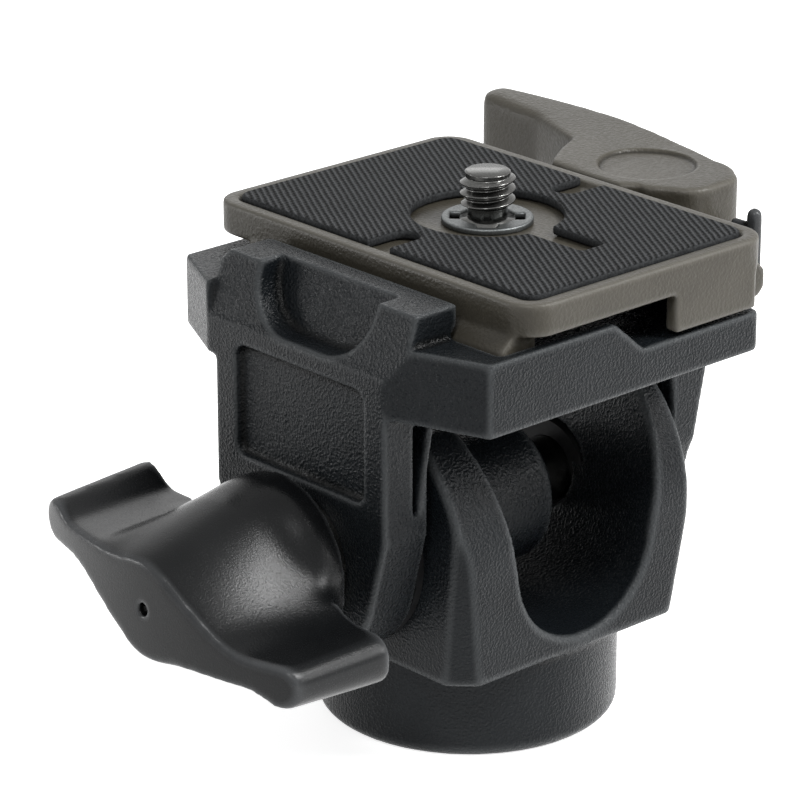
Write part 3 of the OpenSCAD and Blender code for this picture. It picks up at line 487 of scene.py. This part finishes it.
def rounded_copy(name, node, material, voxel_mm, passes):
    """A copy of a CAD node with soft cast edges."""
    mesh = even_mesh(frame["nodes"][node].data, voxel_mm)
    soften(mesh, passes)
    return dress(name, mesh, node, material)


def ease(value, start, end):
    """0 at start, 1 at end, smooth between."""
    t = np.clip((value - start) / (end - start), 0, 1)
    return t * t * (3 - 2 * t)


def circle(steps):
    """Angles once round, in radians."""
    return [2 * math.pi * step / steps for step in range(steps)]


def node_radius(node):
    """Half the width of a round CAD node."""
    low, high = box_mm(node)
    return (high[0] - low[0]) / 2


def with_ring(node, inner, radii, ends, steps=96):
    """A CAD node's mesh with a ring round the pivot bolt's axis added, its bore left open."""
    low, high = box_mm("pivot_bolt")
    centre = (low + high) / 2
    body = bmesh.new()
    body.from_mesh(frame["nodes"][node].data)
    profile = ((inner, ends[0]), (radii[0], ends[0]), (radii[1], ends[1]), (inner, ends[1]))
    loops = []
    for radius, y in profile:
        loops.append([
            body.verts.new(((centre[0] + radius * math.cos(a)) * MM, y * MM,
                            (centre[2] + radius * math.sin(a)) * MM))
            for a in circle(steps)
        ])
    for loop, after in zip(loops, loops[1:] + loops[:1]):
        for step in range(steps):
            nxt = (step + 1) % steps
            body.faces.new((loop[step], after[step], after[nxt], loop[nxt]))
    mesh = bpy.data.meshes.new(node)
    body.to_mesh(mesh)
    body.free()
    return mesh


# Fork


def fork_mesh():
    """The fork with its front boss flared towards the wall that carries it."""
    inner = node_radius("bush_front") + FLARE_ROOM
    flared = with_ring("base_fork", inner, FLARE_R, FLARE_Y)
    mesh = even_mesh(flared, voxel_mm=0.32)
    soften(mesh, passes=5)
    return mesh


# Wing knob


def from_knob_axis(points):
    """Distance of each point from the axis on which the knob turns."""
    low, high = box_mm("knob_insert")
    axis = (low + high) / 2
    return np.hypot(points[:, 0] - axis[0], points[:, 2] - axis[2])


def hole_weight(points):
    """A small share round the hole in the knob's front, 1 elsewhere."""
    front = box_mm("wing_knob")[0][1]
    near = (from_knob_axis(points) < HOLE_R) & (points[:, 1] < front + HOLE_DEPTH)
    return np.where(near, HOLE_SHARE, 1.0)


def collar_weight(points):
    """1 where the dome meets the collar, 0 on the wings and the front."""
    behind = box_mm("wing_knob")[1][1] - points[:, 1]
    inside = 1 - ease(from_knob_axis(points), *COLLAR_REACH)
    return ease(behind, *COLLAR_START) * (1 - ease(behind, *COLLAR_STOP)) * inside


def knob_mesh():
    """The wing knob with its collar led smoothly into the dome."""
    back = box_mm("wing_knob")[1][1] - COLLAR_BACK
    inner = node_radius("knob_insert") + COLLAR_ROOM
    collared = with_ring("wing_knob", inner, COLLAR_R, (back - COLLAR_L, back))
    mesh = even_mesh(collared, voxel_mm=0.3)
    soften(mesh, passes=14, weight=hole_weight)
    soften(mesh, passes=150, weight=collar_weight)
    return mesh


# Lever


def lever_axis():
    low, high = box_mm("lever_pivot_screw")
    return (low + high)[:2] / 2


def from_dial(points):
    """Distance of each point from the middle of the round recess."""
    return np.linalg.norm(points[:, :2] - lever_axis() - DIAL_OFFSET, axis=1)


def near_dial(points, top):
    """Whether a point is on the lever's top, in or round the recess."""
    return (from_dial(points) < DIAL_R + DIAL_MARGIN) & (points[:, 2] > top - DIAL_SKIN)


def dial_weight(points):
    """0 on the lever's top round its recess, 1 elsewhere."""
    return np.where(near_dial(points, box_mm("lock_lever")[1][2]), 0.0, 1.0)


def tab_climb(x):
    """How far the lever's top rises towards its tab."""
    start = lever_axis()[0] + TAB_RISE_FROM
    return TAB_RISE * np.clip((start - x) / (start - box_mm("lock_lever")[0][0]), 0, 1)


def press_dial(points):
    """Sets the round recess into the lever's level top with a crisp edge."""
    top = box_mm("lock_lever")[1][2] + tab_climb(points[:, 0])
    near = near_dial(points, top)
    depth = DIAL_DEPTH * (1 - ease(from_dial(points), DIAL_R - DIAL_SLOPE, DIAL_R))
    points[near, 2] = (top - depth)[near]
    return points


def tab_weight(points):
    """The lever's tab, whose edges are rounder than the rest."""
    start, end = TAB_ROUND
    return ease(points[:, 0], lever_axis()[0] + start, lever_axis()[0] + end)


def shape_front(points):
    """Hollow and lobe of the lever's front edge."""
    top = box_mm("lock_lever")[1][2]
    from_axis = points[:, 0] - lever_axis()[0]
    edge_y = np.interp(from_axis, EDGE_X, EDGE_Y)
    shift = np.interp(from_axis, FRONT_X, FRONT_SHIFT)
    near_front = 1 - ease(points[:, 1], edge_y + FRONT_REACH[0], edge_y + FRONT_REACH[1])
    near_top = ease(points[:, 2], top - LOBE_BELOW_TOP[0], top - LOBE_BELOW_TOP[1])
    points[:, 1] += shift * near_front * np.where(shift < 0, near_top, 1)


def shape_end(points):
    """Soft corners on the lever's round end."""
    offset = points[:, :2] - lever_axis()
    angle = np.arctan2(offset[:, 1], offset[:, 0])
    away = np.hypot(offset[:, 1], offset[:, 0])
    turn = np.degrees(angle)
    swell = END_CORNERS * np.cos(END_COUNT * (angle + math.radians(END_TURN)))
    swell = swell * ease(away, *END_AWAY) * ease(turn, *END_START) * (1 - ease(turn, *END_STOP))
    points[:, :2] += swell[:, None] * offset


def raise_tab(points):
    """Lets the lever's top rise towards its tab."""
    low, high = box_mm("lock_lever")
    height = np.clip((points[:, 2] - low[2]) / (high[2] - low[2]), 0, 1)
    points[:, 2] += tab_climb(points[:, 0]) * height


def lever_mesh():
    """The lever with its front edge, round end, rising tab and recess shaped."""
    mesh = even_mesh(frame["nodes"]["lock_lever"].data, voxel_mm=0.28)
    points = get_points(mesh)
    shape_front(points)
    shape_end(points)
    raise_tab(points)
    set_points(mesh, points)
    soften(mesh, passes=10, weight=dial_weight)
    soften(mesh, passes=40, weight=tab_weight)
    set_points(mesh, press_dial(get_points(mesh)))
    return mesh


# Camera screw


def screw_radius(angle, rise, length):
    """Radius of the screw at an angle and a height above the ring: neck, thread, plain point."""
    marks = (0, NECK_TOP, THREAD_FROM, length - THREAD_END, length - POINT_FROM,
             length - POINT_TO, length)
    outers = (NECK_R, NECK_R, THREAD_R, THREAD_R, POINT_R, POINT_R, POINT_R - POINT_CHAMFER)
    depths = (0, 0, THREAD_DEPTH, THREAD_DEPTH, 0, 0, 0)
    turn = rise / THREAD_PITCH - angle / (2 * math.pi)
    saw = np.abs(2 * (turn % 1) - 1)
    groove = np.clip(THREAD_STEEP * saw - THREAD_CREST, 0, 1)
    return np.interp(rise, marks, outers) - np.interp(rise, marks, depths) * groove


def thread_mesh(steps=120, rows=150):
    """The camera screw: the CAD head and shank up to the ring, and the thread above it."""
    low, high = box_mm("camera_screw")
    ring_top = box_mm("screw_retainer")[1][2]
    axis = (low + high)[:2] / 2
    length = high[2] - ring_top
    body = bmesh.new()
    body.from_mesh(frame["nodes"]["camera_screw"].data)
    bmesh.ops.remove_doubles(body, verts=body.verts, dist=1e-6)
    everything = body.verts[:] + body.edges[:] + body.faces[:]
    cut = (0, 0, (ring_top - SCREW_CUT) * MM)
    bmesh.ops.bisect_plane(body, geom=everything, plane_co=cut, plane_no=(0, 0, 1),
                           clear_outer=True)
    bmesh.ops.holes_fill(body, edges=[e for e in body.edges if e.is_boundary])
    loops = []
    for row in range(rows):
        rise = -SCREW_LAP + (length + SCREW_LAP) * row / (rows - 1)
        loop = []
        for a in circle(steps):
            r = float(screw_radius(a, max(rise, 0), length))
            x, y = axis[0] + r * math.cos(a), axis[1] + r * math.sin(a)
            loop.append(body.verts.new((x * MM, y * MM, (ring_top + rise) * MM)))
        loops.append(loop)
    for lower, upper in zip(loops, loops[1:]):
        for step in range(steps):
            nxt = (step + 1) % steps
            body.faces.new((lower[step], lower[nxt], upper[nxt], upper[step]))
    body.faces.new(loops[0][::-1])
    body.faces.new(loops[-1])
    mesh = bpy.data.meshes.new("threaded_screw")
    body.to_mesh(mesh)
    body.free()
    return mesh


# Pieces

dress("fork_casting", fork_mesh(), "base_fork", CASTING)
rounded_copy("platform_casting", "tilt_platform", CASTING, voxel_mm=0.3, passes=4)
dress("knob_moulding", knob_mesh(), "wing_knob", KNOB)
rounded_copy("plate_casting", "quick_plate", TAUPE, voxel_mm=0.28, passes=6)
dress("lever_casting", lever_mesh(), "lock_lever", TAUPE)
rounded_copy("catch_casting", "safety_catch", KNOB, voxel_mm=0.25, passes=5)
rounded_copy("screw_ring", "screw_retainer", RING, voxel_mm=0.12, passes=4)
pad = rounded_copy("twill_pad", "plate_pad", PAD, voxel_mm=0.2, passes=12)
dress("threaded_screw", thread_mesh(), "camera_screw", STEEL)

FINISHES = {
    "base_fork": CASTING, "tilt_platform": CASTING, "wing_knob": KNOB, "safety_catch": KNOB,
    "quick_plate": TAUPE, "lock_lever": TAUPE, "plate_pad": PAD, "camera_screw": STEEL,
    "screw_retainer": RING, "pivot_bolt": STEEL, "thrust_washer": STEEL, "knob_insert": BRASS,
    "bush_front": NYLON, "bush_rear": NYLON, "friction_washer_front": NYLON,
    "friction_washer_rear": NYLON, "lever_pivot_screw": STEEL, "lever_washer": STEEL,
    "lever_spring": SPRING, "release_pin": BRASS, "release_spring": SPRING, "catch_pin": STEEL,
    "catch_spring": SPRING,
}
for node, material in FINISHES.items():
    data = frame["nodes"][node].data
    data.materials.clear()
    data.materials.append(material)


# Stage, light and camera


def seen_rays(tree):
    """1 for a ray from the camera, a reflection or a see-through surface, 0 for other light."""
    path = tree.nodes.new("ShaderNodeLightPath")
    seen = path.outputs["Is Camera Ray"]
    for ray in ("Is Glossy Ray", "Is Transmission Ray"):
        either = tree.nodes.new("ShaderNodeMath")
        either.operation = "MAXIMUM"
        tree.links.new(seen, either.inputs[0])
        tree.links.new(path.outputs[ray], either.inputs[1])
        seen = either.outputs[0]
    return seen


def add_floor(side_m=3.0):
    mesh = bpy.data.meshes.new("floor")
    signs = ((-1, -1), (1, -1), (1, 1), (-1, 1))
    corners = [(side_m * x, side_m * y, 0) for x, y in signs]
    mesh.from_pydata(corners, [], [(0, 1, 2, 3)])
    floor = new_object("floor", mesh)
    n = Nodes("floor_white")
    n.set(base_color=(0.96, 0.96, 0.96, 1), roughness=0.9, specular_ior_level=0.0)
    n.set(emission_color=(1, 1, 1, 1))
    n.feed("Emission Strength", n.math("MULTIPLY", seen_rays(n.tree), FLOOR_GLOW))
    mesh.materials.append(n.material)


def add_lamp(name, place_mm, size_mm, watts):
    light = bpy.data.lights.new(name, "AREA")
    light.shape = "RECTANGLE"
    light.size = size_mm[0] * MM
    light.size_y = size_mm[1] * MM
    light.energy = watts
    obj = new_object(name, light)
    obj.location = Vector(place_mm) * MM
    obj.rotation_euler = (Vector(AIM) - Vector(place_mm)).to_track_quat("-Z", "Y").to_euler()


def add_world():
    """White where the camera, a reflection or a see-through ray looks, a soft grey as light."""
    world = bpy.data.worlds.new("studio")
    world.use_nodes = True
    tree = world.node_tree
    soft = tree.nodes["Background"]
    soft.inputs["Color"].default_value = (1, 1, 1, 1)
    soft.inputs["Strength"].default_value = AMBIENT
    white = tree.nodes.new("ShaderNodeBackground")
    white.inputs["Color"].default_value = (1, 1, 1, 1)
    white.inputs["Strength"].default_value = 1.0
    mix = tree.nodes.new("ShaderNodeMixShader")
    tree.links.new(seen_rays(tree), mix.inputs["Fac"])
    tree.links.new(soft.outputs[0], mix.inputs[1])
    tree.links.new(white.outputs[0], mix.inputs[2])
    tree.links.new(mix.outputs[0], tree.nodes["World Output"].inputs["Surface"])
    bpy.context.scene.world = world


def add_camera():
    azimuth = math.radians(CAM_AZIMUTH)
    elevation = math.radians(CAM_ELEVATION)
    level = math.cos(elevation)
    back = Vector((math.sin(azimuth) * level, -math.cos(azimuth) * level, math.sin(elevation)))
    data = bpy.data.cameras.new("camera")
    data.lens = CAM_LENS
    data.sensor_width = CAM_SENSOR
    data.clip_start = CAM_CLIP[0] * MM
    data.clip_end = CAM_CLIP[1] * MM
    camera = new_object("camera", data)
    camera.location = (Vector(CAM_TARGET) + back * CAM_DISTANCE) * MM
    camera.rotation_euler = (-back).to_track_quat("-Z", "Y").to_euler()
    bpy.context.scene.camera = camera


add_floor()
add_world()
add_lamp("key_box", place_mm=(220, 140, 345), size_mm=(90, 130), watts=1.6)
add_lamp("low_box", place_mm=(290, 272, 190), size_mm=(80, 170), watts=0.6)
add_lamp("front_box", place_mm=(160, -235, 340), size_mm=(100, 100), watts=0.6)
add_lamp("left_box", place_mm=(-300, -280, 60), size_mm=(60, 60), watts=0.3)
add_lamp("back_box", place_mm=(-320, 260, 230), size_mm=(200, 200), watts=0.12)
add_camera()
bpy.context.scene.view_settings.view_transform = "Standard"
